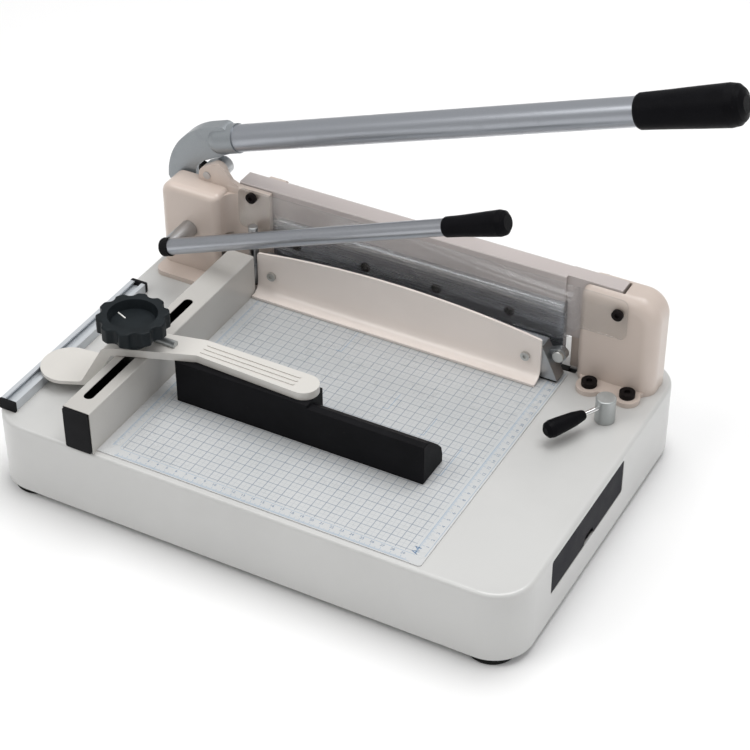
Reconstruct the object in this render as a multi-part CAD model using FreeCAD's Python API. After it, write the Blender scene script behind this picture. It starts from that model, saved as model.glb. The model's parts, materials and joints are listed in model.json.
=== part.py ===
import FreeCAD, Part
import math
import os
from FreeCAD import Vector

# Guillotine stack paper cutter, 330 mm cutting width.  Millimetres, +Z up.
# Everything is drawn in the table's frame: X = 0 at the side rail's guide face, Y = 0 at
# the front edge of the ruled plate, Z = 0 on the ruled plate.  save() moves each piece to
# the part's own frame, whose origin is on the desk, under the middle of the cutter.

# ---------------------------------------------------------------- driving dimensions
TABLE_HEIGHT = 84.0          # ruled plate above the desk
FOOT_HEIGHT = 8.0
BASE_LEFT, BASE_RIGHT = -122.0, 425.0
BASE_FRONT, BASE_BACK = -6.0, 367.0
BASE_TOP = -1.0              # the ruled plate lies 1 mm proud of the painted top
BASE_CORNER = 38.0
SHEET = 2.0                  # sheet metal of the housing
ROW_ORIGIN_X, ROW_ORIGIN_Y = 174.4, 179.4

GRID_WIDTH, GRID_DEPTH = 331.0, 306.0

RAIL_LEFT, RAIL_RIGHT = -29.0, 0.0
RAIL_TOP, RAIL_BACK = 45.0, 280.0
RAIL_SLOT_X, RAIL_SLOT_HALF = -15.65, 5.0
RAIL_SLOT_FRONT, RAIL_SLOT_BACK = 12.0, 188.0

TRACK_X, TRACK_HALF = -107.5, 8.5
TRACK_FRONT, TRACK_BACK, TRACK_TOP = 13.0, 231.0, 9.0
TRACK_FLOOR, TRACK_SLOT_HALF = 4.0, 4.0

STAND_FRONT, STAND_BACK = 307.0, 345.0
LEFT_STAND_RIGHT, RIGHT_STAND_LEFT = 4.0, 337.5
LEFT_STAND_LEFT, BULGE_RIGHT, BULGE_FRONT, BULGE_TOP = -111.0, -43.5, 285.0, 97.0
RIGHT_STAND_RIGHT, STAND_TOP = 415.0, 102.0

# one axis carries the cutting handle behind the left stand and the press lever before it
PIVOT_X, PIVOT_Z = -78.0, 51.5
HANDLE_ANGLE = 19.14         # degrees above level, with the knife down
HANDLE_Y = 326.0
HANDLE_OFFSET = 76.0         # tube axis to pivot
CRANK_RADIUS = 50.0
HANDLE_TRAVEL = 55.0         # degrees
KNIFE_TILT = 20.0            # the knife rises along a line leaning 20 degrees to the left
PRESS_ANGLE = 21.1
PRESS_Y = 247.0
PRESS_CRANK = 23.0
PRESS_TRAVEL = 80.0

BEAM_FRONT, BEAM_BACK, BEAM_TOP = 314.0, 335.0, 103.6
BLADE_LEFT, BLADE_RIGHT, BLADE_TOP, BLADE_FRONT, BLADE_BACK = -9.0, 321.0, 63.0, 313.0, 321.0

CLAMP_LEFT, CLAMP_RIGHT = 1.0, 311.0
KNOB_Y, KNOB_TOP, KNOB_RADIUS = 93.2, 88.0, 34.0
DISC_X, DISC_Y, DISC_RADIUS, DISC_TOP = -86.3, 80.5, 26.6, 13.6
TIP_X, TIP_Y, TIP_RADIUS = 152.5, 114.8, 14.5
ARM_BOTTOM, ARM_TOP = 45.6, 53.6
BAR_LEFT, BAR_STEP, BAR_RIGHT, BAR_FRONT = 24.5, 166.0, 284.4, 96.3
LOCK_X, LOCK_Y, LOCK_RADIUS, LOCK_TOP = 388.7, 260.1, 9.7, 24.8
DRAWER_FRONT, DRAWER_BACK, DRAWER_LOW, DRAWER_HIGH = 66.0, 223.0, -46.0, -8.0

X_AXIS, Y_AXIS, Z_AXIS = Vector(1, 0, 0), Vector(0, 1, 0), Vector(0, 0, 1)
ROW_SHIFT = Vector(-ROW_ORIGIN_X, -ROW_ORIGIN_Y, TABLE_HEIGHT)


# ---------------------------------------------------------------- helpers
def save(node, *solids):
    """Move the solids to the part's frame and write them as one sub-part."""
    moved = [solid.translated(ROW_SHIFT) for shape in solids for solid in shape.Solids]
    shape = moved[0] if len(moved) == 1 else Part.makeCompound(moved)
    shape.exportStep("parts/" + node + ".step")


def box(x0, x1, y0, y1, z0, z1):
    return Part.makeBox(x1 - x0, y1 - y0, z1 - z0, Vector(x0, y0, z0))


def rod(radius, x, y, z, length, axis=Z_AXIS):
    """Cylinder that starts at a point and runs along an axis."""
    return Part.makeCylinder(radius, length, Vector(x, y, z), axis)


def ring(outer, inner, x, y, z, length, axis=Z_AXIS):
    return rod(outer, x, y, z, length, axis).cut(rod(inner, x, y, z, length, axis))


def prism(points, direction):
    """Closed outline of corner points, swept straight."""
    wire = Part.makePolygon(points + points[:1])
    return Part.Face(wire).extrude(direction)


def prism_z(points, z0, z1):
    return prism([Vector(x, y, z0) for x, y in points], Vector(0, 0, z1 - z0))


def prism_y(points, y0, y1):
    return prism([Vector(x, y0, z) for x, z in points], Vector(0, y1 - y0, 0))


def prism_x(points, x0, x1):
    return prism([Vector(x0, y, z) for y, z in points], Vector(x1 - x0, 0, 0))


def capsule_y(xa, za, xb, zb, radius, y0, y1):
    """Bar with two round ends, seen from the front, from y0 back to y1."""
    length = math.hypot(xb - xa, zb - za)
    ux, uz = (xb - xa) / length, (zb - za) / length
    nx, nz = -uz * radius, ux * radius
    a1, a2 = Vector(xa + nx, y0, za + nz), Vector(xa - nx, y0, za - nz)
    b1, b2 = Vector(xb + nx, y0, zb + nz), Vector(xb - nx, y0, zb - nz)
    end_a = Vector(xa - ux * radius, y0, za - uz * radius)
    end_b = Vector(xb + ux * radius, y0, zb + uz * radius)
    edges = [Part.LineSegment(a1, b1).toShape(), Part.Arc(b1, end_b, b2).toShape(),
             Part.LineSegment(b2, a2).toShape(), Part.Arc(a2, end_a, a1).toShape()]
    return Part.Face(Part.Wire(edges)).extrude(Vector(0, y1 - y0, 0))


def fillet(shape, radius, chosen):
    """Round the edges for which chosen(edge) is true."""
    edges = [edge for edge in shape.Edges if chosen(edge)]
    return shape.makeFillet(radius, edges)


def along(edge, axis):
    """True for a straight edge that runs along the axis."""
    if edge.Curve.TypeId != "Part::GeomLine":
        return False
    return abs(abs(edge.Curve.Direction.dot(axis)) - 1) < 1e-6


def middle(edge):
    return edge.valueAt((edge.FirstParameter + edge.LastParameter) / 2)


def tilted(shape, angle):
    """Turn a shape made along +X at the pivot up by an angle, seen from the front."""
    return shape.rotated(Vector(PIVOT_X, 0, PIVOT_Z), Y_AXIS, -angle)


def revolved(profile, origin_x, origin_y, origin_z):
    """Turn a profile of (distance along X, radius) points about the X line at the origin."""
    points = [Vector(origin_x + s, origin_y, origin_z + r) for s, r in profile]
    points = [Vector(points[0].x, origin_y, origin_z)] + points
    points.append(Vector(points[-1].x, origin_y, origin_z))
    wire = Part.makePolygon(points + points[:1])
    return Part.Face(wire).revolve(Vector(origin_x, origin_y, origin_z), X_AXIS, 360)


def screw(x, y, z, axis, head_radius, head, shank_radius, shank, socket):
    """Socket screw: head outside the point, along the axis, and shank the other way."""
    solid = rod(head_radius, x, y, z, head, axis)
    back = Vector(x, y, z) - axis * shank
    solid = solid.fuse(rod(shank_radius, back.x, back.y, back.z, shank, axis))
    top = Vector(x, y, z) + axis * (head * 0.4)
    return solid.cut(rod(socket, top.x, top.y, top.z, head, axis)).removeSplitter()


# ---------------------------------------------------------------- base
FOOT_RADIUS = 23.0
FOOT_SPOTS = [(-87.0, 20.0), (392.0, 20.0), (-87.0, 341.0), (392.0, 341.0)]
GROOVE_FRONT, GROOVE_BACK, GROOVE_DEPTH = 311.5, 320.0, 10.0
GROOVE_LEFT, GROOVE_RIGHT = 5.0, 336.0
BOTTOM = -TABLE_HEIGHT + FOOT_HEIGHT
POST_RADIUS = 8.0


def base_housing():
    """Pressed steel skin: top and four walls, open below, with a window for the drawer."""
    height = BASE_TOP - BOTTOM
    outer = box(BASE_LEFT, BASE_RIGHT, BASE_FRONT, BASE_BACK, BOTTOM, BASE_TOP)
    outer = fillet(outer, BASE_CORNER, lambda e: along(e, Z_AXIS))
    outer = fillet(outer, 4.0, lambda e: abs(middle(e).z - BASE_TOP) < 1e-6)
    inner = box(BASE_LEFT + SHEET, BASE_RIGHT - SHEET, BASE_FRONT + SHEET, BASE_BACK - SHEET,
                BOTTOM, BOTTOM + height - SHEET)
    inner = fillet(inner, BASE_CORNER - SHEET, lambda e: along(e, Z_AXIS))
    skin = outer.cut(inner)
    window = box(BASE_RIGHT - 5, BASE_RIGHT + 1, DRAWER_FRONT, DRAWER_BACK,
                 DRAWER_LOW, DRAWER_HIGH)
    window = fillet(window, 3.0, lambda e: along(e, X_AXIS))
    groove = box(GROOVE_LEFT, GROOVE_RIGHT, GROOVE_FRONT, GROOVE_BACK, -5, 1)
    holes = [rod(5.3, x, y, -5, 6) for x, y in RIGHT_BOLTS + LEFT_BOLTS]
    holes.append(rod(LOCK_STUD_RADIUS, LOCK_X, LOCK_Y, -5, 6))
    return skin.cut([window, groove] + holes)


def bed_plate():
    """Thick steel bar under the skin that carries both stands and the cutting stick."""
    plate = box(-107, 408, 240, 356, BASE_TOP - SHEET - 12, BASE_TOP - SHEET)
    corners = [rod(POST_RADIUS + 0.5, x, y, -20, 20) for x, y in FOOT_SPOTS]
    groove = box(GROOVE_LEFT, GROOVE_RIGHT, GROOVE_FRONT, GROOVE_BACK, -GROOVE_DEPTH, 0)
    holes = [rod(4.3, x, y, -20, 20) for x, y in RIGHT_BOLTS + LEFT_BOLTS]
    holes.append(rod(LOCK_STUD_RADIUS, LOCK_X, LOCK_Y, -20, 20))
    return plate.cut([groove] + corners + holes)


def corner_posts():
    top = BASE_TOP - SHEET
    return [ring(POST_RADIUS, 2.6, x, y, BOTTOM + 1.5, top - BOTTOM - 1.5)
            for x, y in FOOT_SPOTS]


def bottom_plate():
    gap = SHEET + 0.3
    plate = box(BASE_LEFT + gap, BASE_RIGHT - gap, BASE_FRONT + gap, BASE_BACK - gap,
                BOTTOM, BOTTOM + 1.5)
    plate = fillet(plate, BASE_CORNER - gap, lambda e: along(e, Z_AXIS))
    return plate.cut([rod(3.2, x, y, BOTTOM - 1, 4) for x, y in FOOT_SPOTS])


def rubber_feet():
    feet = []
    for x, y in FOOT_SPOTS:
        foot = rod(FOOT_RADIUS, x, y, BOTTOM - FOOT_HEIGHT, FOOT_HEIGHT)
        foot = fillet(foot, 2.0, lambda e: abs(middle(e).z + TABLE_HEIGHT) < 1e-6)
        foot = foot.cut(rod(3.2, x, y, BOTTOM - FOOT_HEIGHT - 1, 12))
        feet.append(foot.cut(rod(7.0, x, y, BOTTOM - FOOT_HEIGHT - 1, 5)))
    return feet


def foot_screws():
    screws = []
    for x, y in FOOT_SPOTS:
        screws.append(screw(x, y, BOTTOM - 4, -Z_AXIS, 4.8, 2.6, 2.55, 24, 1.6))
    return screws


def grid_plate():
    plate = box(0, GRID_WIDTH, 0, GRID_DEPTH, BASE_TOP, 0)
    corner = lambda e: along(e, Z_AXIS) and middle(e).x > 1 and middle(e).y < 1
    return fillet(plate, 3.0, corner)


def cutting_stick():
    """Soft plastic bar that the blade lands on, turned or replaced as it wears."""
    stick = box(GROOVE_LEFT + 0.3, GROOVE_RIGHT - 8, GROOVE_FRONT + 0.2, GROOVE_BACK - 0.9,
                -GROOVE_DEPTH, -0.1)
    return fillet(stick, 0.5, lambda e: along(e, X_AXIS))


# ---------------------------------------------------------------- rail and track
def side_rail():
    tube = box(RAIL_LEFT, RAIL_RIGHT, BASE_FRONT, RAIL_BACK, BASE_TOP, RAIL_TOP)
    tube = fillet(tube, 1.5, lambda e: along(e, Y_AXIS) and middle(e).z > 0)
    bore = box(RAIL_LEFT + 2, RAIL_RIGHT - 2, BASE_FRONT - 1, RAIL_BACK - 2,
               BASE_TOP + 2, RAIL_TOP - 2)
    slot = box(RAIL_SLOT_X - RAIL_SLOT_HALF, RAIL_SLOT_X + RAIL_SLOT_HALF,
               RAIL_SLOT_FRONT + RAIL_SLOT_HALF, RAIL_SLOT_BACK - RAIL_SLOT_HALF,
               RAIL_TOP - 4, RAIL_TOP + 1)
    for y in (RAIL_SLOT_FRONT + RAIL_SLOT_HALF, RAIL_SLOT_BACK - RAIL_SLOT_HALF):
        slot = slot.fuse(rod(RAIL_SLOT_HALF, RAIL_SLOT_X, y, RAIL_TOP - 4, 5))
    return tube.cut([bore, slot])


def side_rail_plug():
    face = box(RAIL_LEFT + 0.8, RAIL_RIGHT - 0.8, BASE_FRONT - 2.2, BASE_FRONT,
               BASE_TOP + 0.8, RAIL_TOP - 0.8)
    face = fillet(face, 2.0, lambda e: along(e, Y_AXIS))
    insert = box(RAIL_LEFT + 2.2, RAIL_RIGHT - 2.2, BASE_FRONT, BASE_FRONT + 10,
                 BASE_TOP + 2.2, RAIL_TOP - 2.2)
    core = box(RAIL_LEFT + 4.2, RAIL_RIGHT - 4.2, BASE_FRONT, BASE_FRONT + 11,
               BASE_TOP + 4.2, RAIL_TOP - 4.2)
    return face.fuse(insert.cut(core)).removeSplitter()


def track():
    """Aluminium extrusion with a broad shallow T-slot along its top."""
    x, y0, y1 = TRACK_X, TRACK_FRONT, TRACK_BACK
    body = box(x - TRACK_HALF, x + TRACK_HALF, y0, y1, BASE_TOP, TRACK_TOP)
    bore = box(x - TRACK_HALF + 1.6, x + TRACK_HALF - 1.6, y0 - 1, y1 + 1,
               TRACK_FLOOR, TRACK_TOP - 1.8)
    slot = box(x - TRACK_SLOT_HALF, x + TRACK_SLOT_HALF, y0 - 1, y1 + 1,
               TRACK_TOP - 3, TRACK_TOP + 1)
    return body.cut([bore, slot])


def track_end_caps():
    caps = []
    for y0, y1 in ((TRACK_FRONT - 3, TRACK_FRONT), (TRACK_BACK, TRACK_BACK + 3)):
        cap = box(TRACK_X - TRACK_HALF - 0.6, TRACK_X + TRACK_HALF + 0.6, y0, y1,
                  BASE_TOP, TRACK_TOP + 0.6)
        caps.append(fillet(cap, 1.2, lambda e: along(e, Y_AXIS) and middle(e).z > 0))
    return caps


# ---------------------------------------------------------------- stands
RIGHT_BOLTS = [(357.0, 296.0), (395.5, 296.5)]
LEFT_BOLTS = [(-98.0, 276.0), (-45.0, 276.0)]
FLANGE_TOP = 4.0
SLOT_FRONT, SLOT_BACK = 312.5, 335.6
RIGHT_WALL = 317.4
GUIDE_LEFT_X, GUIDE_RIGHT_X, GUIDE_Z, GUIDE_RADIUS = -5.0, 349.0, 92.0, 6.0
GUIDE_ROD_X, GUIDE_ROD_Y, GUIDE_ROD_RADIUS, GUIDE_ROD_TOP = -9.0, 295.5, 5.0, 69.0
SHAFT_RADIUS = 9.0
STOP_A, STOP_B, STOP_RADIUS = (-68.5, 104.0), (-56.5, 111.3), 9.3


def left_stand():
    """Casting with a bulge that houses the press crank, and an open slot for the beam."""
    bulge = box(LEFT_STAND_LEFT, BULGE_RIGHT, BULGE_FRONT, 315, BASE_TOP, BULGE_TOP)
    shoulder = lambda e: along(e, Y_AXIS) and middle(e).z > 90 and middle(e).x < -100
    bulge = fillet(bulge, 13.0, shoulder)
    bulge = fillet(bulge, 8.0, lambda e: along(e, Z_AXIS) and middle(e).y < 290)
    bulge = fillet(bulge, 5.0, lambda e: middle(e).z > BULGE_TOP - 15
                   and middle(e).y < 290 and not along(e, Z_AXIS))
    wall = box(BULGE_RIGHT - 1, LEFT_STAND_RIGHT, STAND_FRONT, SLOT_FRONT, BASE_TOP, STAND_TOP)
    wall = fillet(wall, 3.0, lambda e: along(e, X_AXIS) and middle(e).z > 100
                  and middle(e).y < 308)
    cove = 13.0
    web = box(BULGE_RIGHT - 1, BULGE_RIGHT + cove, STAND_FRONT - cove, STAND_FRONT + 1,
              BASE_TOP, BULGE_TOP - 4)
    web = web.cut(rod(cove, BULGE_RIGHT + cove, STAND_FRONT - cove, BASE_TOP - 1, 120))
    flange = prism_z([(-111, 264.5), (-34, 264.5), (-34, 285), (0, 288), (0, 306.5),
                      (4, 306.5), (4, STAND_BACK), (-111, STAND_BACK)], BASE_TOP, FLANGE_TOP)
    flange = fillet(flange, 11.0, lambda e: along(e, Z_AXIS) and middle(e).y < 275)
    flange = flange.cut(box(-16, 6, SLOT_FRONT, BLADE_BACK + 2, -2, 10))
    back = box(-14.5, LEFT_STAND_RIGHT, SLOT_BACK, STAND_BACK, BASE_TOP, STAND_TOP - 1.6)
    back = fillet(back, 5.5, lambda e: along(e, X_AXIS) and middle(e).z > 90
                  and middle(e).y > 340)
    ear = capsule_y(STOP_A[0], STOP_A[1], STOP_B[0], STOP_B[1], STOP_RADIUS, 308, 315)
    neck = box(-78, BULGE_RIGHT, 308, 315, 90, 104)
    gusset = prism_y([(-62, 92), (-62, 117), (-51.8, 119.5), (-47.5, 116.0), (-40, 105.5),
                      (-32, STAND_TOP), (-32, 92)], 307.5, SLOT_FRONT)
    stand = bulge.fuse([wall, web, flange, back, ear, neck, gusset])
    cavity = box(-104, BULGE_RIGHT - 3, 290, 305, FLANGE_TOP, 90)
    mouth = box(BULGE_RIGHT - 4, BULGE_RIGHT + 20, 290, 305, FLANGE_TOP, 48.6)
    bore = rod(SHAFT_RADIUS + 0.05, PIVOT_X, 280, PIVOT_Z, 25, Y_AXIS)
    rear_bore = rod(11.0, PIVOT_X, 304, PIVOT_Z, 20, Y_AXIS)
    pin = rod(GUIDE_RADIUS, GUIDE_LEFT_X, 334, GUIDE_Z, 20, Y_AXIS)
    stop = rod(4.0, STOP_A[0], 300, STOP_A[1], 20, Y_AXIS)
    tapped = [rod(2.0, GUARD_SCREWS[0][0], 306, GUARD_SCREWS[0][1], 5, Y_AXIS)]
    holes = [rod(4.0, x, y, BASE_TOP - 1, 5.2) for x, y in LEFT_BOLTS]
    guide = rod(GUIDE_ROD_RADIUS, GUIDE_ROD_X, GUIDE_ROD_Y, BASE_TOP - 1, 20)
    rear = [rod(2.0, x, 338, z, 10, Y_AXIS) for x, z in REAR_SCREWS[:2]]
    tools = [cavity, mouth, bore, rear_bore, pin, stop, guide] + tapped + holes + rear
    return stand.cut(tools).removeSplitter()


def right_stand():
    """Casting with a rounded shoulder and an open slot that the beam's end moves in."""
    body = box(RIGHT_STAND_LEFT, RIGHT_STAND_RIGHT, STAND_FRONT, STAND_BACK,
               BASE_TOP, STAND_TOP)
    shoulder = lambda e: along(e, Y_AXIS) and middle(e).z > 90 and middle(e).x > 400
    body = fillet(body, 24.0, shoulder)
    body = fillet(body, 9.0, lambda e: along(e, Z_AXIS) and middle(e).x > 400
                  and middle(e).y > 330)
    body = fillet(body, 14.0, lambda e: along(e, Z_AXIS) and middle(e).x > 400
                  and middle(e).y < 330)
    rim = lambda e: middle(e).z > 76 and not along(e, Z_AXIS) and not along(e, Y_AXIS)
    body = fillet(body, 7.0, lambda e: rim(e) and (middle(e).y < 318 or middle(e).y > 334)
                  and (middle(e).x < 410 or middle(e).z > 79))
    slot = box(RIGHT_STAND_LEFT - 1, 377.5, RIGHT_WALL, SLOT_BACK, FLANGE_TOP, 130)
    body = body.cut(slot)
    lobes = [rod(12.5, x, y, BASE_TOP, FLANGE_TOP - BASE_TOP) for x, y in RIGHT_BOLTS]
    bridge = prism_z([(RIGHT_BOLTS[0][0], 290), (RIGHT_BOLTS[1][0], 290),
                      (RIGHT_BOLTS[1][0] + 12, 308), (RIGHT_STAND_LEFT + 3, 308)],
                     BASE_TOP, FLANGE_TOP)
    cheek = box(326, RIGHT_STAND_LEFT + 1, 322, STAND_BACK, BASE_TOP, 33)
    stand = body.fuse(lobes + [bridge, cheek])
    holes = [rod(5.2, x, y, BASE_TOP - 1, 20) for x, y in RIGHT_BOLTS]
    pin = rod(GUIDE_RADIUS, GUIDE_RIGHT_X, 334, GUIDE_Z, 20, Y_AXIS)
    tapped = rod(2.0, GUARD_SCREWS[1][0], 306, GUARD_SCREWS[1][1], 9, Y_AXIS)
    rear = [rod(2.0, x, 338, z, 10, Y_AXIS) for x, z in REAR_SCREWS[2:]]
    return stand.cut(holes + [pin, tapped] + rear).removeSplitter()


def stand_bolts():
    """Two socket bolts down through the right stand, two up into the left one."""
    bolts = [screw(x, y, FLANGE_TOP, Z_AXIS, 7.6, 5.0, 4.0, 24, 3.2) for x, y in RIGHT_BOLTS]
    low = BASE_TOP - SHEET - 12
    bolts += [screw(x, y, low, -Z_AXIS, 6.8, 7.0, 3.9, 18, 3.0) for x, y in LEFT_BOLTS]
    return bolts


def beam_guide_pins():
    pins = [rod(GUIDE_RADIUS, GUIDE_LEFT_X, 323, GUIDE_Z, 22, Y_AXIS),
            rod(GUIDE_RADIUS, GUIDE_RIGHT_X, 319.5, GUIDE_Z, 25.5, Y_AXIS)]
    return pins


def handle_stop():
    """Steel stud on the left stand that the hub comes down on."""
    body = capsule_y(STOP_A[0], STOP_A[1], STOP_B[0], STOP_B[1], STOP_RADIUS, 315, 325)
    return body.fuse(rod(4.0, STOP_A[0], 307, STOP_A[1], 9, Y_AXIS)).removeSplitter()


def stop_bumper():
    """Rubber lip round the stud's left end."""
    x, z = STOP_A
    outer = ring(STOP_RADIUS + 4.6, STOP_RADIUS + 0.1, x, 315.2, z, 9.6, Y_AXIS)
    reach = 40.0
    corners = [(x, z)]
    for degrees in (160, 195, 235, 270):
        angle = math.radians(degrees)
        corners.append((x + reach * math.cos(angle), z + reach * math.sin(angle)))
    return outer.common(prism_y(corners, 310, 330))


# ---------------------------------------------------------------- guards
GUARD_SCREWS = [(-14.5, 96.0), (377.0, 86.5)]
GUARD_Y0, GUARD_Y1 = 304.7, 306.7
GUARD_LEFT, GUARD_RIGHT = -31.0, 386.0
GUARD_LOW, GUARD_SIDE_LOW, GUARD_HIGH = 39.5, 58.5, 102.5
REAR_SCREWS = [(-6.0, 56.0), (-6.0, 77.0), (402.0, 56.0), (402.0, 77.0)]


def smooth_step(xa, za, xb, zb):
    """S-shaped edge between two level runs, at the guard's front face."""
    poles = [Vector(xa, GUARD_Y0, za), Vector((xa + xb) / 2, GUARD_Y0, za),
             Vector((xa + xb) / 2, GUARD_Y0, zb), Vector(xb, GUARD_Y0, zb)]
    curve = Part.BezierCurve()
    curve.setPoles(poles)
    return curve.toShape()


def safety_guard():
    """Clear sheet screwed to both stands, its lower edge hanging over the clamp."""
    def line(xa, za, xb, zb):
        return Part.LineSegment(Vector(xa, GUARD_Y0, za), Vector(xb, GUARD_Y0, zb)).toShape()
    low_left, low_right = 22.0, 318.0
    edges = [line(GUARD_LEFT, GUARD_HIGH, GUARD_LEFT, GUARD_SIDE_LOW),
             line(GUARD_LEFT, GUARD_SIDE_LOW, -4, GUARD_SIDE_LOW),
             smooth_step(-4, GUARD_SIDE_LOW, low_left, GUARD_LOW),
             line(low_left, GUARD_LOW, low_right, GUARD_LOW),
             smooth_step(low_right, GUARD_LOW, 346, GUARD_SIDE_LOW),
             line(346, GUARD_SIDE_LOW, GUARD_RIGHT, GUARD_SIDE_LOW),
             line(GUARD_RIGHT, GUARD_SIDE_LOW, GUARD_RIGHT, GUARD_HIGH),
             line(GUARD_RIGHT, GUARD_HIGH, GUARD_LEFT, GUARD_HIGH)]
    sheet = Part.Face(Part.Wire(edges)).extrude(Vector(0, GUARD_Y1 - GUARD_Y0, 0))
    sheet = fillet(sheet, 7.0, lambda e: along(e, Y_AXIS)
                   and (middle(e).x < GUARD_LEFT + 1 or middle(e).x > GUARD_RIGHT - 1))
    return sheet.cut([rod(2.3, x, 300, z, 10, Y_AXIS) for x, z in GUARD_SCREWS])


def guard_screws():
    return [screw(x, GUARD_Y0, z, -Y_AXIS, 5.6, 3.6, 1.95, 6, 2.4) for x, z in GUARD_SCREWS]


def rear_guard():
    """Clear sheet that closes the gap behind the knife above the paper."""
    sheet = box(-14, 412, STAND_BACK, STAND_BACK + 2, 50, 94.5)
    sheet = fillet(sheet, 24.0, lambda e: along(e, Y_AXIS) and middle(e).z > 90
                   and middle(e).x > 400)
    sheet = fillet(sheet, 5.0, lambda e: along(e, Y_AXIS) and middle(e).x < 0)
    return sheet.cut([rod(2.3, x, 340, z, 20, Y_AXIS) for x, z in REAR_SCREWS])


def rear_guard_screws():
    return [screw(x, STAND_BACK + 2, z, Y_AXIS, 4.2, 2.6, 1.95, 7, 1.6)
            for x, z in REAR_SCREWS]


# ---------------------------------------------------------------- cutting handle
HANDLE_TUBE_START, HANDLE_TUBE_END = 46.0, 540.0


def handle_hub():
    """Cast elbow that turns about the pivot shaft, with the crank web on its front side."""
    y0, y1 = 318.0, 334.0
    round_x, round_z, round_r = -49.4, 83.6, 72.0
    slope = math.radians(HANDLE_ANGLE)
    nx, nz = -math.sin(slope), math.cos(slope)

    def line(a, b):
        return Part.LineSegment(a, b).toShape()

    def at(x, z):
        return Vector(x, y0, z)

    left = at(round_x - round_r, round_z)
    crown = at(round_x + round_r * nx, round_z + round_r * nz)
    bend = at(round_x + round_r * math.cos(math.radians(140)),
              round_z + round_r * math.sin(math.radians(140)))
    run = 24.0

    def beyond(s, below):
        """Point s along the tube from the crown and some way below its tangent."""
        return at(crown.x + s * math.cos(slope) - below * nx,
                  crown.z + s * math.sin(slope) - below * nz)

    top_end, corner, side_top = beyond(run - 9, 0), beyond(run - 2.64, 2.64), beyond(run, 9)
    low_end = beyond(run, 28.5)
    under_a, under_b = at(-74.5, 114.3), at(-84.5, 107.0)
    under_c = at(-88.0, 96.0)
    heel_left = at(-101.0, 47.0)
    heel_right = at(-88.0, 66.0)
    edges = [line(heel_left, left), Part.Arc(left, bend, crown).toShape(),
             line(crown, top_end), Part.Arc(top_end, corner, side_top).toShape(),
             line(side_top, low_end), line(low_end, under_a),
             Part.Arc(under_a, under_b, under_c).toShape(), line(under_c, heel_right),
             line(heel_right, heel_left)]
    plate = Part.Face(Part.Wire(edges)).extrude(Vector(0, y1 - y0, 0))
    boss = rod(24.0, PIVOT_X, 316.5, PIVOT_Z, 23.5, Y_AXIS)
    low = math.radians(-HANDLE_TRAVEL / 2 + KNIFE_TILT)
    pin_x, pin_z = CRANK_PIN
    side = Vector(-math.sin(low), 0, math.cos(low))
    corners = []
    for px, pz, half in ((PIVOT_X, PIVOT_Z, 22.0), (pin_x, pin_z, 10.5)):
        corners.append(((px + side.x * half, pz + side.z * half),
                        (px - side.x * half, pz - side.z * half)))
    web = prism_y([corners[0][0], corners[1][0], corners[1][1], corners[0][1]], 316.5, 325.5)
    web = web.fuse(rod(10.5, pin_x, 316.5, pin_z, 9, Y_AXIS))
    collar = rod(15.0, PIVOT_X + 46, HANDLE_Y, PIVOT_Z + HANDLE_OFFSET, 20.5, X_AXIS)
    dome = Vector(PIVOT_X + 46, HANDLE_Y, PIVOT_Z + HANDLE_OFFSET)
    collar = collar.fuse(Part.makeSphere(15.0, dome))
    collar = tilted(collar, HANDLE_ANGLE)
    hub = plate.fuse([boss, web, collar]).removeSplitter()
    tube_hole = rod(13.8, PIVOT_X + HANDLE_TUBE_START, HANDLE_Y, PIVOT_Z + HANDLE_OFFSET, 60, X_AXIS)
    hole = rod(11.05, PIVOT_X, 310, PIVOT_Z, 40, Y_AXIS)
    pin_hole = rod(GUIDE_RADIUS, pin_x, 310, pin_z, 20, Y_AXIS)
    hub = hub.cut([tilted(tube_hole, HANDLE_ANGLE), hole, pin_hole])
    soft = lambda e: (e.BoundBox.ZMin > 70 and (abs(middle(e).y - y0) < 0.01
                      or abs(middle(e).y - y1) < 0.01) and middle(e).x < -60
                      and middle(e).z > 80)
    try:
        return fillet(hub, 2.5, soft)
    except Part.OCCError:
        return hub


def crank_spot():
    angle = math.radians(KNIFE_TILT - HANDLE_TRAVEL / 2)
    return (PIVOT_X + CRANK_RADIUS * math.cos(angle), PIVOT_Z + CRANK_RADIUS * math.sin(angle))


CRANK_PIN = crank_spot()


def crank_pin():
    return rod(GUIDE_RADIUS, CRANK_PIN[0], 316.5, CRANK_PIN[1], 18, Y_AXIS)


def handle_shaft():
    shaft = rod(11.0, PIVOT_X, 305.2, PIVOT_Z, 36, Y_AXIS)
    return shaft.fuse(rod(6.0, PIVOT_X, 340, PIVOT_Z, 14, Y_AXIS)).removeSplitter()


def hub_washer():
    return ring(15.0, 6.0, PIVOT_X, 341.2, PIVOT_Z, 2.2, Y_AXIS)


def hub_nut():
    across = 9.5 / math.cos(math.pi / 6)
    corners = [(PIVOT_X + across * math.cos(math.radians(60 * i)),
                PIVOT_Z + across * math.sin(math.radians(60 * i))) for i in range(6)]
    return prism_y(corners, 343.4, 351.4).cut(rod(6.0, PIVOT_X, 340, PIVOT_Z, 20, Y_AXIS))


def handle_tube():
    tube = ring(13.7, 11.2, PIVOT_X + HANDLE_TUBE_START, HANDLE_Y, PIVOT_Z + HANDLE_OFFSET,
                HANDLE_TUBE_END - HANDLE_TUBE_START, X_AXIS)
    return tilted(tube, HANDLE_ANGLE)


def handle_grip():
    profile = [(0, 15.4), (2, 16.4), (28, 17.2), (62, 18.6), (86, 19.4), (93.5, 18.2),
               (98, 14.5), (100.5, 8.0)]
    start = 504.0
    grip = revolved(profile, PIVOT_X + start, HANDLE_Y, PIVOT_Z + HANDLE_OFFSET)
    bore = rod(13.75, PIVOT_X + start - 1, HANDLE_Y, PIVOT_Z + HANDLE_OFFSET, 46, X_AXIS)
    return tilted(grip.cut(bore), HANDLE_ANGLE)


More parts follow.
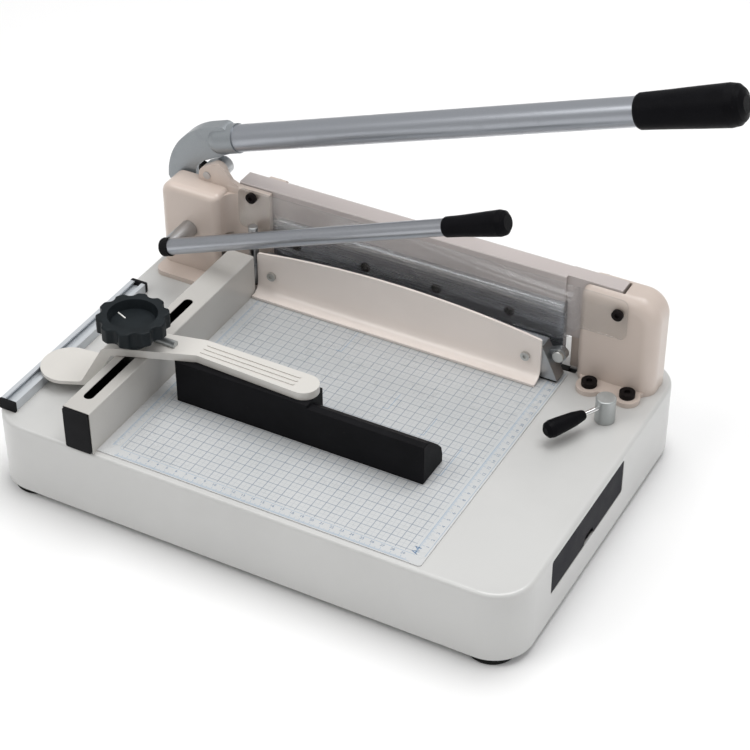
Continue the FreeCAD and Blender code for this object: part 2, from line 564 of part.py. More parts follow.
# ---------------------------------------------------------------- knife
def guide_slot(x, z, y0, y1, half):
    """Slot in the beam that follows its slanted travel past a fixed pin."""
    rise = 2 * CRANK_RADIUS * math.sin(math.radians(HANDLE_TRAVEL / 2)) + 0.8
    tilt = math.radians(KNIFE_TILT)
    return capsule_y(x - 0.1, z + 0.3, x + rise * math.sin(tilt), z - rise * math.cos(tilt),
                     half, y0, y1)


def knife_beam():
    """Cast carrier: deep between the stands, thinner where its ends run in their slots."""
    low = 36.0
    body = box(-9, 320, BEAM_FRONT, BEAM_BACK, low, BEAM_TOP)
    body = fillet(body, 1.5, lambda e: along(e, X_AXIS) and middle(e).z > 100)
    rebate = box(-10, BLADE_RIGHT + 0.5, BEAM_FRONT - 1, BLADE_BACK, low - 1, 75.5)
    end = box(320, 375, 318, BEAM_BACK, low, BEAM_TOP)
    tongue = box(-41, -9, 326.5, BEAM_BACK, 30, 64)
    lug = box(-20, -9, 326.5, BEAM_BACK, 60, 100)
    horn = box(-34, -8, BEAM_FRONT, BEAM_BACK, 90, BEAM_TOP)
    horn = fillet(horn, 1.5, lambda e: along(e, X_AXIS) and middle(e).z > 100)
    corner = box(-10, -6, BEAM_FRONT - 1, 326, low - 1, 64)
    beam = body.fuse([end, tongue, lug, horn]).cut([rebate, corner])
    tilt = math.radians(KNIFE_TILT)
    x, z = CRANK_PIN
    sag = CRANK_RADIUS * (1 - math.cos(math.radians(HANDLE_TRAVEL / 2))) + 1.2
    yoke = capsule_y(x - 1.0 * math.cos(tilt), z - 1.0 * math.sin(tilt),
                     x + sag * math.cos(tilt), z + sag * math.sin(tilt), 6.8, 320, 340)
    slots = [guide_slot(GUIDE_LEFT_X, GUIDE_Z, 322, 340, GUIDE_RADIUS + 0.06),
             guide_slot(GUIDE_RIGHT_X, GUIDE_Z, 310, 340, GUIDE_RADIUS + 0.06)]
    taps = [rod(3.0, bx, 316, bz, 14, Y_AXIS) for bx, bz in BLADE_BOLTS]
    return beam.cut([yoke] + slots + taps).removeSplitter()


BLADE_BOLTS = [(x, 47.0) for x in (30.0, 108.0, 186.0, 264.0)]


def blade():
    """Tool steel knife, ground from the back down to its cutting edge."""
    section = [(BLADE_FRONT, 0.0), (BLADE_BACK, 20.0), (BLADE_BACK, BLADE_TOP),
               (BLADE_FRONT, BLADE_TOP)]
    knife = prism_x(section, BLADE_LEFT, BLADE_RIGHT)
    holes = [rod(3.2, x, 310, z, 20, Y_AXIS) for x, z in BLADE_BOLTS]
    sinks = [rod(5.6, x, 312, z, 4.6, Y_AXIS) for x, z in BLADE_BOLTS]
    return knife.cut(holes + sinks)


def blade_bolts():
    return [screw(x, BLADE_FRONT + 3.6, z, -Y_AXIS, 5.4, 3.0, 2.95, 12, 2.0)
            for x, z in BLADE_BOLTS]


def blade_strip():
    """Bright ribbed keeper over the blade's back edge."""
    front, groove = BLADE_FRONT, BLADE_FRONT + 1.6
    section = [(front, 63.3), (BLADE_BACK, 63.3), (BLADE_BACK, 75.2), (groove, 75.2),
               (groove, 71.8), (front, 70.8), (front, 67.8), (groove, 66.9), (groove, 65.8),
               (front, 65.0)]
    return prism_x(section, BLADE_LEFT, BLADE_RIGHT - 1)



# ---------------------------------------------------------------- press lever
PRESS_TUBE_RADIUS, PRESS_TUBE_START, PRESS_TUBE_END = 8.2, 3.0, 330.0
PRESS_PIN_ANGLE, PRESS_PIN_RADIUS = -40.0, 4.0
PRESS_CRANK_FRONT, PRESS_CRANK_BACK = 300.3, 304.7


def press_pin_spot():
    angle = math.radians(PRESS_PIN_ANGLE)
    return (PIVOT_X + PRESS_CRANK * math.cos(angle), PIVOT_Z + PRESS_CRANK * math.sin(angle))


def press_shaft():
    """Shaft through the bulge's front wall, its outer end saddled onto the lever tube."""
    shaft = rod(SHAFT_RADIUS, PIVOT_X, PRESS_Y, PIVOT_Z, PRESS_CRANK_BACK - PRESS_Y, Y_AXIS)
    tube = rod(PRESS_TUBE_RADIUS, PIVOT_X - 60, PRESS_Y, PIVOT_Z, 200, X_AXIS)
    plug = rod(9.5, PIVOT_X + PRESS_TUBE_START - 20, PRESS_Y, PIVOT_Z, 20, X_AXIS)
    return shaft.cut([tilted(tube, PRESS_ANGLE), tilted(plug, PRESS_ANGLE)])


def press_crank():
    px, pz = press_pin_spot()
    y0, depth = PRESS_CRANK_FRONT, PRESS_CRANK_BACK - PRESS_CRANK_FRONT
    arm = capsule_y(PIVOT_X, PIVOT_Z, px, pz, 6.4, y0, y0 + depth)
    crank = arm.fuse([rod(13.0, PIVOT_X, y0, PIVOT_Z, depth, Y_AXIS),
                      rod(PRESS_PIN_RADIUS, px, 290.5, pz, 12, Y_AXIS)]).removeSplitter()
    return crank.cut(rod(SHAFT_RADIUS, PIVOT_X, 280, PIVOT_Z, 40, Y_AXIS))


def press_lever_tube():
    tube = ring(PRESS_TUBE_RADIUS, 6.4, PIVOT_X + PRESS_TUBE_START, PRESS_Y, PIVOT_Z,
                PRESS_TUBE_END - PRESS_TUBE_START, X_AXIS)
    return tilted(tube, PRESS_ANGLE)


def press_lever_plug():
    start = PIVOT_X + PRESS_TUBE_START
    plug = rod(9.5, start - 10, PRESS_Y, PIVOT_Z, 10, X_AXIS)
    plug = fillet(plug, 2.5, lambda e: e.BoundBox.XMax < start - 9)
    plug = plug.fuse(rod(6.4, start, PRESS_Y, PIVOT_Z, 12, X_AXIS)).removeSplitter()
    return tilted(plug, PRESS_ANGLE)


def press_lever_grip():
    profile = [(0, 8.8), (1.5, 9.6), (18, 10.0), (45, 11.6), (58, 12.3), (63, 11.2), (66, 7.5)]
    start = PIVOT_X + 327
    grip = revolved(profile, start, PRESS_Y, PIVOT_Z)
    bore = rod(PRESS_TUBE_RADIUS, start - 1, PRESS_Y, PIVOT_Z,
               PRESS_TUBE_END - 327 + 1.0, X_AXIS)
    return tilted(grip.cut(bore), PRESS_ANGLE)


# ---------------------------------------------------------------- clamp
CLAMP_FRONT, CLAMP_BACK, CLAMP_BOTTOM = 287.0, 303.0, 3.0
CLAMP_SCREWS = [(17.7, 24.5), (295.8, 24.5)]
PRESS_PIN_X, PRESS_PIN_Z = press_pin_spot()


def clamp_bar():
    """Steel bar across the table, with a tongue on the left that the press crank lifts."""
    bar = prism_y([(3, CLAMP_BOTTOM), (328, CLAMP_BOTTOM), (311, 38), (3, 38)],
                  CLAMP_FRONT, CLAMP_BACK)
    tongue = box(-68, 4, 290.8, 299.8, 6, 18)
    horn = box(-68, -47.6, 290.8, 299.8, 6, 44.5)
    horn = fillet(horn, 4.0, lambda e: along(e, Y_AXIS) and middle(e).z > 40)
    boss = rod(8.5, GUIDE_ROD_X, GUIDE_ROD_Y, 6, 20)
    link = capsule_y(314, 22, 325, 27, 7.0, 296, CLAMP_BACK)
    bar = bar.fuse([tongue, horn, boss, link]).removeSplitter()
    slot = capsule_y(PRESS_PIN_X - 0.3, PRESS_PIN_Z, PIVOT_X + PRESS_CRANK + 0.3, PRESS_PIN_Z,
                     PRESS_PIN_RADIUS + 0.6, 285, 310)
    guide = rod(GUIDE_ROD_RADIUS + 0.05, GUIDE_ROD_X, GUIDE_ROD_Y, 0, 80)
    taps = [rod(2.0, x, 280, z, 20, Y_AXIS) for x, z in CLAMP_SCREWS]
    taps.append(rod(3.4, 325, 280, 27, 40, Y_AXIS))
    return bar.cut([slot, guide] + taps)


def clamp_plate():
    """Pressed sheet in front of the bar: arched top edge, foot curling out on the paper."""
    front, sheet, bend = CLAMP_FRONT - 2.5, 2.5, 10.0
    toe, floor = front - 13.0, 0.5
    centre_y, centre_z = front - bend, floor + sheet + bend

    def at(y, z):
        return Vector(CLAMP_LEFT, y, z)

    def line(a, b):
        return Part.LineSegment(a, b).toShape()

    def on(radius):
        return at(centre_y + radius * math.sqrt(0.5), centre_z - radius * math.sqrt(0.5))

    outer = bend + sheet
    top = 60.0
    edges = [line(at(front, top), at(front, centre_z)),
             Part.Arc(at(front, centre_z), on(bend), at(centre_y, floor + sheet)).toShape(),
             line(at(centre_y, floor + sheet), at(toe, floor + sheet)),
             line(at(toe, floor + sheet), at(toe, floor)),
             line(at(toe, floor), at(centre_y, floor)),
             Part.Arc(at(centre_y, floor), on(outer), at(front + sheet, centre_z)).toShape(),
             line(at(front + sheet, centre_z), at(front + sheet, top)),
             line(at(front + sheet, top), at(front, top))]
    plate = Part.Face(Part.Wire(edges)).extrude(Vector(CLAMP_RIGHT - CLAMP_LEFT, 0, 0))
    middle_x = (CLAMP_LEFT + CLAMP_RIGHT) / 2
    low_left, low_right = Vector(CLAMP_LEFT, 260, -1), Vector(CLAMP_RIGHT, 260, -1)
    end_left, end_right = Vector(CLAMP_LEFT, 260, 46.5), Vector(CLAMP_RIGHT, 260, 46.5)
    crown = Vector(middle_x, 260, 58.5)
    edges = [line(end_left, low_left), line(low_left, low_right), line(low_right, end_right),
             Part.Arc(end_right, crown, end_left).toShape()]
    outline = Part.Face(Part.Wire(edges)).extrude(Vector(0, 40, 0))
    plate = plate.common(outline)
    plate = fillet(plate, 2.5, lambda e: along(e, Y_AXIS) and middle(e).z > 40)
    return plate.cut([rod(2.3, x, 270, z, 30, Y_AXIS) for x, z in CLAMP_SCREWS])


def clamp_screws():
    return [screw(x, CLAMP_FRONT - 2.5, z, -Y_AXIS, 4.6, 3.0, 1.95, 11, 2.0)
            for x, z in CLAMP_SCREWS]


def clamp_pad():
    pad = box(4, 327, CLAMP_FRONT + 0.5, CLAMP_BACK - 0.5, 0.6, CLAMP_BOTTOM)
    return fillet(pad, 0.8, lambda e: along(e, X_AXIS) and middle(e).z < 1)


def clamp_end_pin():
    head = rod(5.8, 325, 291.5, 27, 4.5, Y_AXIS)
    head = fillet(head, 0.8, lambda e: e.BoundBox.YMax < 291.6)
    return head.fuse(rod(3.4, 325, 296, 27, 8.3, Y_AXIS)).removeSplitter()


def clamp_guide_rod():
    post = rod(GUIDE_ROD_RADIUS, GUIDE_ROD_X, GUIDE_ROD_Y, BASE_TOP,
               GUIDE_ROD_TOP - BASE_TOP)
    return fillet(post, 1.2, lambda e: e.BoundBox.ZMin > GUIDE_ROD_TOP - 0.1)


# ---------------------------------------------------------------- back stop
def hull_z(xa, ya, ra, xb, yb, rb, z0, z1):
    """Two upright discs joined by their tangents."""
    length = math.hypot(xb - xa, yb - ya)
    heading = math.atan2(yb - ya, xb - xa)
    open_angle = math.acos((ra - rb) / length)
    corners = []
    for x, y, r, sign in ((xa, ya, ra, 1), (xb, yb, rb, 1), (xb, yb, rb, -1), (xa, ya, ra, -1)):
        angle = heading + sign * open_angle
        corners.append((x + r * math.cos(angle), y + r * math.sin(angle)))
    flat = prism_z(corners, z0, z1)
    return flat.fuse([rod(ra, xa, ya, z0, z1 - z0), rod(rb, xb, yb, z0, z1 - z0)])


NECK_X, NECK_Y, NECK_HALF = -30.0, 96.0, 17.4
WAIST_X, WAIST_Y, WAIST_HALF = 42.0, 117.4, 12.4


def arm_direction():
    length = math.hypot(TIP_X - WAIST_X, TIP_Y - WAIST_Y)
    return ((TIP_X - WAIST_X) / length, (TIP_Y - WAIST_Y) / length)


def backstop_arm():
    """Arm that steps up from the track, over the rail, and out across the paper."""
    z0, z1 = TRACK_TOP + 1, ARM_TOP
    plan = hull_z(DISC_X, DISC_Y, DISC_RADIUS, NECK_X, NECK_Y, NECK_HALF, z0, z1)
    plan = plan.fuse(hull_z(NECK_X, NECK_Y, NECK_HALF, WAIST_X, WAIST_Y, WAIST_HALF, z0, z1))
    plan = plan.fuse(hull_z(WAIST_X, WAIST_Y, WAIST_HALF, TIP_X, TIP_Y, TIP_RADIUS, z0, z1))
    side = prism_y([(-120, z0), (-51, z0), (-32, ARM_BOTTOM), (200, ARM_BOTTOM),
                    (200, ARM_TOP), (-39, ARM_TOP), (-60, DISC_TOP), (-120, DISC_TOP)], 0, 200)
    side = fillet(side, 5.0, lambda e: along(e, Y_AXIS) and -62 < middle(e).x < -37
                  and middle(e).z > DISC_TOP - 0.1)
    arm = plan.common(side).removeSplitter()
    ux, uy = arm_direction()
    ribs = []
    for shift in (-6.0, 0.0, 6.0):
        sx, sy = -uy * shift, ux * shift
        ribs.append(hull_z(WAIST_X + 4 * ux + sx, WAIST_Y + 4 * uy + sy, 1.5,
                           TIP_X - 8 * ux + sx, TIP_Y - 8 * uy + sy, 1.3,
                           ARM_TOP - 0.5, ARM_TOP + 0.9))
    arm = arm.fuse(ribs).removeSplitter()
    stud = rod(4.1, RAIL_SLOT_X, KNOB_Y, ARM_BOTTOM - 1, 12)
    slider = rod(1.6, TRACK_X, DISC_Y, z0 - 1, 3.6)
    taps = [rod(2.0, x, y, ARM_BOTTOM - 1, 6.5) for x, y in BAR_SCREWS]
    pin = rod(4.0, ARM_PIN_X0, ARM_PIN_Y, ARM_PIN_Z, ARM_PIN_X1 - ARM_PIN_X0, X_AXIS)
    return arm.cut([stud, slider, pin] + taps)


BAR_SCREWS = [(146.0, 105.5), (146.0, 119.0)]
ARM_PIN_X0, ARM_PIN_X1, ARM_PIN_Y, ARM_PIN_Z = -2.0, 20.0, 107.5, 55.4


def backstop_pin():
    return rod(4.0, ARM_PIN_X0, ARM_PIN_Y, ARM_PIN_Z, ARM_PIN_X1 - ARM_PIN_X0, X_AXIS)


def backstop_bar():
    """Moulded fence, a square block under the arm and a wedge to its right."""
    block = box(BAR_LEFT, BAR_STEP, BAR_FRONT, 126, 0.3, ARM_BOTTOM)
    block = fillet(block, 1.5, lambda e: along(e, Z_AXIS))
    wedge = prism_x([(BAR_FRONT, 0.3), (BAR_FRONT, 42), (104, 42), (111, 38.6), (117, 33.5),
                     (126, 25), (132, 18), (134.2, 9), (134.2, 0.3)], BAR_STEP - 3, BAR_RIGHT)
    wedge = fillet(wedge, 1.2, lambda e: e.BoundBox.XMin > BAR_RIGHT - 0.1)
    inner_a = box(BAR_LEFT + 3, BAR_STEP - 3, BAR_FRONT + 3, 123, -1, ARM_BOTTOM - 3.5)
    inner_b = prism_x([(BAR_FRONT + 3, -1), (BAR_FRONT + 3, 39), (103, 39), (109.5, 35.6),
                       (115, 31.0), (123.5, 23), (129, 16.8), (131.2, 9), (131.2, -1)],
                      BAR_STEP, BAR_RIGHT - 3)
    web = box(BAR_STEP - 3, BAR_STEP, BAR_FRONT + 1, 125, 0.3, 41)
    bar = block.fuse(wedge).cut([inner_a, inner_b]).fuse(web)
    return bar.cut([rod(2.3, x, y, 30, 20) for x, y in BAR_SCREWS]).removeSplitter()


def backstop_screws():
    low = ARM_BOTTOM - 3.5
    return [screw(x, y, low, -Z_AXIS, 4.0, 2.6, 1.95, 9, 1.6) for x, y in BAR_SCREWS]


def track_slider():
    """T-shaped shoe in the track, screwed up under the arm's disc from below."""
    nut = box(TRACK_X - 6.4, TRACK_X + 6.4, DISC_Y - 8, DISC_Y + 8, TRACK_FLOOR + 0.3,
              TRACK_TOP - 2.2)
    neck = box(TRACK_X - 3.6, TRACK_X + 3.6, DISC_Y - 7, DISC_Y + 7, TRACK_TOP - 2.2,
               TRACK_TOP + 1)
    sink = rod(3.1, TRACK_X, DISC_Y, TRACK_FLOOR, 1.7)
    return nut.fuse(neck).removeSplitter().cut([rod(1.6, TRACK_X, DISC_Y, 1, 20), sink])


def slider_screw():
    return screw(TRACK_X, DISC_Y, TRACK_FLOOR + 1.7, -Z_AXIS, 3.0, 1.3, 1.55, 6.6, 1.0)


def rail_nut():
    nut = box(RAIL_SLOT_X - 9, RAIL_SLOT_X + 9, KNOB_Y - 9, KNOB_Y + 9, 35.5, RAIL_TOP - 2.3)
    return nut.cut(rod(4.05, RAIL_SLOT_X, KNOB_Y, 30, 20))


# ---------------------------------------------------------------- clamping knob
KNOB_BOTTOM, KNOB_LOBES = 73.0, 10


def knob():
    """Moulded hand wheel: ten lobes round a dished top, and a boss below."""
    body = rod(KNOB_RADIUS, RAIL_SLOT_X, KNOB_Y, KNOB_BOTTOM, KNOB_TOP - KNOB_BOTTOM)
    scoops = []
    for i in range(KNOB_LOBES):
        angle = 2 * math.pi * (i + 0.5) / KNOB_LOBES
        reach = KNOB_RADIUS + 3.0
        scoops.append(rod(6.8, RAIL_SLOT_X + reach * math.cos(angle),
                          KNOB_Y + reach * math.sin(angle), KNOB_BOTTOM - 1, 30))
    body = body.cut(scoops)
    body = fillet(body, 3.4, lambda e: along(e, Z_AXIS))
    body = fillet(body, 1.6, lambda e: abs(middle(e).z - KNOB_TOP) < 1e-6)
    dish = Part.makeCone(21.0, 23.5, 9.0, Vector(RAIL_SLOT_X, KNOB_Y, KNOB_TOP - 9))
    boss = rod(13.0, RAIL_SLOT_X, KNOB_Y, 56.2, KNOB_BOTTOM - 56.2 + 1)
    body = body.cut(dish).fuse(boss).removeSplitter()
    return body.cut(rod(4.0, RAIL_SLOT_X, KNOB_Y, 50, 24))


def knob_stud():
    return rod(4.0, RAIL_SLOT_X, KNOB_Y, 36.5, 74 - 36.5)


def knob_washer():
    return ring(10.0, 4.0, RAIL_SLOT_X, KNOB_Y, ARM_TOP + 0.3, 56.2 - ARM_TOP - 0.3)


# ---------------------------------------------------------------- lock lever
LOCK_ANGLE, LOCK_ROD_Z, LOCK_REACH, LOCK_GRIP = 242.0, 16.0, 70.0, 44.5
LOCK_STUD_RADIUS = 4.0


def lock_turned(shape):
    return shape.rotated(Vector(LOCK_X, LOCK_Y, 0), Z_AXIS, LOCK_ANGLE)


def lock_post():
    post = rod(LOCK_RADIUS, LOCK_X, LOCK_Y, BASE_TOP + 0.3, LOCK_TOP - BASE_TOP - 0.3)
    post = fillet(post, 1.2, lambda e: e.BoundBox.ZMin > LOCK_TOP - 0.1)
    seat = lock_turned(rod(2.3, LOCK_X + 2, LOCK_Y, LOCK_ROD_Z, 20, X_AXIS))
    return post.cut([seat, rod(LOCK_STUD_RADIUS + 0.05, LOCK_X, LOCK_Y, BASE_TOP - 2, 11)])


def lock_stud():
    """Fixed stud in the base that the post turns on."""
    return rod(LOCK_STUD_RADIUS, LOCK_X, LOCK_Y, BASE_TOP - SHEET - 10, 18)


def lock_rod():
    return lock_turned(rod(2.3, LOCK_X + 2, LOCK_Y, LOCK_ROD_Z, 36, X_AXIS))


def lock_grip():
    profile = [(0, 4.2), (1.5, 5.0), (12, 6.9), (29, 8.2), (37, 8.6), (41.5, 7.6),
               (LOCK_GRIP, 4.0)]
    start = LOCK_X + LOCK_REACH - LOCK_GRIP
    grip = revolved(profile, start, LOCK_Y, LOCK_ROD_Z)
    return lock_turned(grip.cut(rod(2.3, start - 1, LOCK_Y, LOCK_ROD_Z, 14, X_AXIS)))


# ---------------------------------------------------------------- tool drawer
def tool_drawer():
    """Shallow tray behind a black front, with a finger notch in its lower edge."""
    front = box(BASE_RIGHT - 3.5, BASE_RIGHT - 0.4, DRAWER_FRONT + 0.5, DRAWER_BACK - 0.5,
                DRAWER_LOW + 0.5, DRAWER_HIGH - 0.5)
    front = fillet(front, 2.5, lambda e: along(e, X_AXIS))
    notch_y = (DRAWER_FRONT + DRAWER_BACK) / 2 + 4
    notch = prism_x([(notch_y - 12, DRAWER_LOW - 1), (notch_y + 12, DRAWER_LOW - 1),
                     (notch_y + 7, DRAWER_LOW + 9), (notch_y - 7, DRAWER_LOW + 9)],
                    BASE_RIGHT - 5, BASE_RIGHT + 1)
    x0, x1 = 332.0, BASE_RIGHT - 3.5
    y0, y1 = DRAWER_FRONT + 2, DRAWER_BACK - 2
    z0, z1 = DRAWER_LOW + 2, DRAWER_HIGH - 8
    tray = box(x0, x1, y0, y1, z0, z1)
    hollow = box(x0 + 2, x1 - 2, y0 + 2, y1 - 2, z0 + 2, z1 + 1)
    drawer = front.fuse(tray.cut(hollow)).removeSplitter()
    return drawer.cut(notch)


def drawer_guides():
    """Two bent strips on the bottom plate that carry the tray's long edges."""
    floor = BOTTOM + 1.5
    guides = []
    for edge, side in ((DRAWER_FRONT + 2, -1), (DRAWER_BACK - 2, 1)):
        wall = sorted((edge + side * 0.4, edge + side * 1.9))
        lip = sorted((edge - side * 6, edge + side * 1.9))
        foot = sorted((edge + side * 0.4, edge + side * 14))
        upright = box(326, 418, wall[0], wall[1], floor, DRAWER_HIGH - 10)
        ledge = box(326, 418, lip[0], lip[1], DRAWER_LOW + 0.1, DRAWER_LOW + 1.6)
        base = box(326, 418, foot[0], foot[1], floor, floor + 1.5)
        guides.append(upright.fuse([ledge, base]).removeSplitter())
    return guides


# ---------------------------------------------------------------- write every sub-part
os.makedirs("parts", exist_ok=True)

save("base_housing", base_housing())
save("bed_plate", bed_plate())
save("corner_posts", *corner_posts())
save("bottom_plate", bottom_plate())
save("rubber_feet", *rubber_feet())
save("foot_screws", *foot_screws())
save("grid_plate", grid_plate())
save("cutting_stick", cutting_stick())
save("side_rail", side_rail())
save("side_rail_plug", side_rail_plug())
save("track", track())
save("track_end_caps", *track_end_caps())
save("left_stand", left_stand())
save("right_stand", right_stand())
save("stand_bolts", *stand_bolts())
save("beam_guide_pins", *beam_guide_pins())
save("handle_stop", handle_stop())
save("stop_bumper", stop_bumper())
save("handle_shaft", handle_shaft())
save("hub_washer", hub_washer())
save("hub_nut", hub_nut())
save("clamp_guide_rod", clamp_guide_rod())
save("safety_guard", safety_guard())
save("guard_screws", *guard_screws())
save("rear_guard", rear_guard())
save("rear_guard_screws", *rear_guard_screws())
save("lock_stud", lock_stud())
save("drawer_guides", *drawer_guides())

save("handle_hub", handle_hub())
save("crank_pin", crank_pin())
save("handle_tube", handle_tube())
save("handle_grip", handle_grip())

save("knife_beam", knife_beam())
save("blade", blade())
save("blade_bolts", *blade_bolts())
save("blade_strip", blade_strip())

save("press_shaft", press_shaft())
save("press_crank", press_crank())
save("press_lever_tube", press_lever_tube())
save("press_lever_plug", press_lever_plug())
save("press_lever_grip", press_lever_grip())

save("clamp_bar", clamp_bar())
save("clamp_plate", clamp_plate())
save("clamp_screws", *clamp_screws())
save("clamp_pad", clamp_pad())
save("clamp_end_pin", clamp_end_pin())

save("backstop_arm", backstop_arm())
save("backstop_bar", backstop_bar())
save("backstop_screws", *backstop_screws())
save("backstop_pin", backstop_pin())
save("track_slider", track_slider())
save("slider_screw", slider_screw())
save("rail_nut", rail_nut())

save("knob", knob())
save("knob_stud", knob_stud())
save("knob_washer", knob_washer())

save("lock_post", lock_post())
save("lock_rod", lock_rod())
save("lock_grip", lock_grip())

save("tool_drawer", tool_drawer())
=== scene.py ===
import json
import math

import bmesh
import bpy
from mathutils import Matrix, Vector


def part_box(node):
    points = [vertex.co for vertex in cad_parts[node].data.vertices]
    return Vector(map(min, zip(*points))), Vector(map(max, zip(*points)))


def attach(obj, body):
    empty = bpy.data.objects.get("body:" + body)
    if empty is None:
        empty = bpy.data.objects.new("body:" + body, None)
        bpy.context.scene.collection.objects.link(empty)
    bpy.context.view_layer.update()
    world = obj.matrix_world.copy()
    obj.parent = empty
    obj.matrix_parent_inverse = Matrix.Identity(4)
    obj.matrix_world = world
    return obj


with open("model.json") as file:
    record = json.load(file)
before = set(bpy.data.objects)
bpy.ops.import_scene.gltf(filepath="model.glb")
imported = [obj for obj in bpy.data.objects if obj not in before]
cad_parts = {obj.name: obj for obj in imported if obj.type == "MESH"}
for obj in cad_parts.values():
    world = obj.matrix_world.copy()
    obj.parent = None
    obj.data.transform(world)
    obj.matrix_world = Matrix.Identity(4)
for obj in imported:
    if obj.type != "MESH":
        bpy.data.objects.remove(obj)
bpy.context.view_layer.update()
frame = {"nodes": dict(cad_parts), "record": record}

MM = 0.001
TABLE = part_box("grid_plate")          # its low corner is the ruled table's front left corner
TABLE_LEFT, TABLE_FRONT, TABLE_TOP = TABLE[0].x, TABLE[0].y, TABLE[1].z


def on_table(x, y, z=0.0):
    """A point given in millimetres from the table's front left corner."""
    return Vector((TABLE_LEFT + x * MM, TABLE_FRONT + y * MM, TABLE_TOP + z * MM))


# ---------------------------------------------------------------- node helpers
class Graph:
    """Thin wrapper that builds one material's nodes."""

    def __init__(self, name):
        self.mat = bpy.data.materials.new(name)
        self.mat.use_nodes = True
        self.tree = self.mat.node_tree
        self.tree.nodes.clear()
        self.out = self.node("ShaderNodeOutputMaterial")
        self.shader = self.node("ShaderNodeBsdfPrincipled")
        self.link(self.shader.outputs["BSDF"], self.out.inputs["Surface"])
        self.place = self.node("ShaderNodeTexCoord").outputs["Object"]

    def node(self, kind, **settings):
        made = self.tree.nodes.new(kind)
        for key, value in settings.items():
            setattr(made, key, value)
        return made

    def link(self, source, target):
        self.tree.links.new(source, target)

    def feed(self, socket, value):
        if isinstance(value, bpy.types.NodeSocket):
            self.link(value, socket)
        else:
            socket.default_value = value

    def stretched(self, scale, turn=(0.0, 0.0, 0.0)):
        mapping = self.node("ShaderNodeMapping")
        mapping.inputs["Scale"].default_value = scale
        mapping.inputs["Rotation"].default_value = turn
        self.link(self.place, mapping.inputs["Vector"])
        return mapping.outputs["Vector"]

    def noise(self, scale, detail=3.0, roughness=0.55, place=None, distortion=0.0):
        made = self.node("ShaderNodeTexNoise")
        made.inputs["Scale"].default_value = scale
        made.inputs["Detail"].default_value = detail
        made.inputs["Roughness"].default_value = roughness
        made.inputs["Distortion"].default_value = distortion
        self.link(place or self.place, made.inputs["Vector"])
        return made.outputs["Fac"]

    def cells(self, scale, place=None, feature="F1"):
        made = self.node("ShaderNodeTexVoronoi", feature=feature)
        made.inputs["Scale"].default_value = scale
        self.link(place or self.place, made.inputs["Vector"])
        return made.outputs["Distance"]

    def remap(self, value, low, high, to_low=0.0, to_high=1.0, smooth=False):
        made = self.node("ShaderNodeMapRange")
        made.interpolation_type = "SMOOTHSTEP" if smooth else "LINEAR"
        made.clamp = True
        self.link(value, made.inputs["Value"])
        for key, number in (("From Min", low), ("From Max", high),
                            ("To Min", to_low), ("To Max", to_high)):
            made.inputs[key].default_value = number
        return made.outputs["Result"]

    def math(self, operation, a, b=0.0, c=0.0):
        made = self.node("ShaderNodeMath", operation=operation)
        for socket, value in zip(made.inputs, (a, b, c)):
            self.feed(socket, value)
        return made.outputs["Value"]

    def mix(self, fac, a, b, blend="MIX"):
        made = self.node("ShaderNodeMix", data_type="RGBA", blend_type=blend)
        self.feed(made.inputs["Factor"], fac)
        self.feed(made.inputs["A"], a)
        self.feed(made.inputs["B"], b)
        return made.outputs["Result"]

    def bump(self, height, distance, strength=1.0, normal=None):
        made = self.node("ShaderNodeBump")
        made.inputs["Strength"].default_value = strength
        made.inputs["Distance"].default_value = distance
        self.link(height, made.inputs["Height"])
        if normal is not None:
            self.link(normal, made.inputs["Normal"])
        return made.outputs["Normal"]

    def creases(self, reach):
        """1 in the open, falling towards 0 in corners within reach."""
        made = self.node("ShaderNodeAmbientOcclusion", samples=4)
        made.inputs["Distance"].default_value = reach
        return made.outputs["AO"]

    def split(self):
        made = self.node("ShaderNodeSeparateXYZ")
        self.link(self.place, made.inputs["Vector"])
        return made.outputs

    def surface(self, **values):
        for key, value in values.items():
            self.feed(self.shader.inputs[key.replace("_", " ")], value)
        return self.mat


def rgba(r, g, b):
    return (r, g, b, 1.0)


def shade(colour, factor):
    return rgba(*(min(1.0, c * factor) for c in colour[:3]))


# ---------------------------------------------------------------- materials
def inside_of(g, node, skin=0.6):
    """1 deeper than the skin below the node's top and between its two sides."""
    low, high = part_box(node)
    x_out, _, z_out = g.split()
    right = g.math("LESS_THAN", x_out, high.x - skin * MM)
    left = g.math("GREATER_THAN", x_out, low.x + skin * MM)
    below = g.math("LESS_THAN", z_out, high.z - skin * MM)
    return g.math("MULTIPLY", below, g.math("MULTIPLY", left, right))


